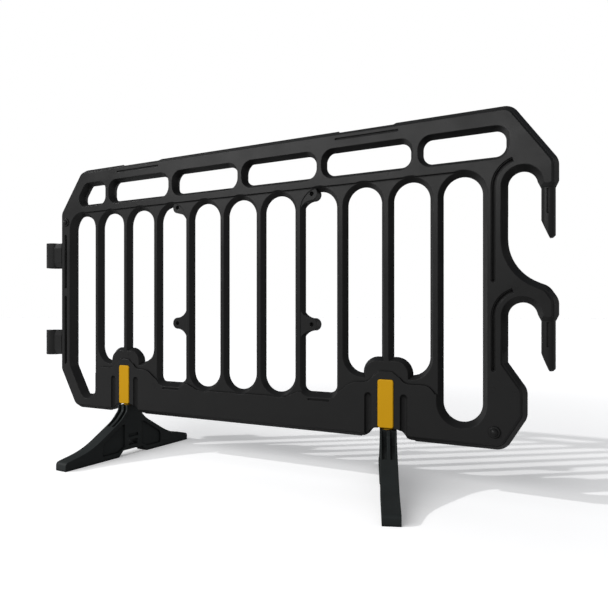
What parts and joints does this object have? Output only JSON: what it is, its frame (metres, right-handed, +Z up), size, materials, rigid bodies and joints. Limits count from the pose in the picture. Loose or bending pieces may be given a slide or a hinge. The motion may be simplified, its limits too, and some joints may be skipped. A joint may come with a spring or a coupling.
{
  "type": "pedestrian barrier panel",
  "caption": "Moulded plastic crowd-control barrier panel with upright slots, hand-holds, linking hooks and sockets at its ends, and swivelling feet on keyed posts.",
  "frame": {"origin": "on the ground, under the middle of the barrier's overall length", "axes": "+X along the panel from the sockets to the hooks, +Y through the panel from the front to the back, +Z up"},
  "size_m": [1.9579, 0.6058, 1.1069],
  "materials": {
    "black_plastic": "satin moulded polyethylene",
    "foot_plastic": "satin moulded recycled plastic",
    "yellow_plastic": "satin moulded plastic"
  },
  "bodies": {
    "panel": {"panel": "black_plastic", "upper_link_socket": "black_plastic", "lower_link_socket": "black_plastic", "left_foot_post": "yellow_plastic", "right_foot_post": "yellow_plastic", "upper_left_stud": "black_plastic", "lower_right_stud": "black_plastic"},
    "left_foot": {"left_foot": "foot_plastic", "left_foot_clip": "foot_plastic"},
    "right_foot": {"right_foot": "foot_plastic", "right_foot_clip": "foot_plastic"}
  },
  "joints": [
    {"name": "left_foot_swivel", "type": "hinge", "parent": "panel", "child": "left_foot", "pos_m": [-0.5395, 0, 0.12], "axis": [0, 0, 1], "range_deg": [-87, 93]},
    {"name": "right_foot_swivel", "type": "hinge", "parent": "panel", "child": "right_foot", "pos_m": [0.5035, 0, 0.12], "axis": [0, 0, 1], "range_deg": [-111, 69]}
  ]
}
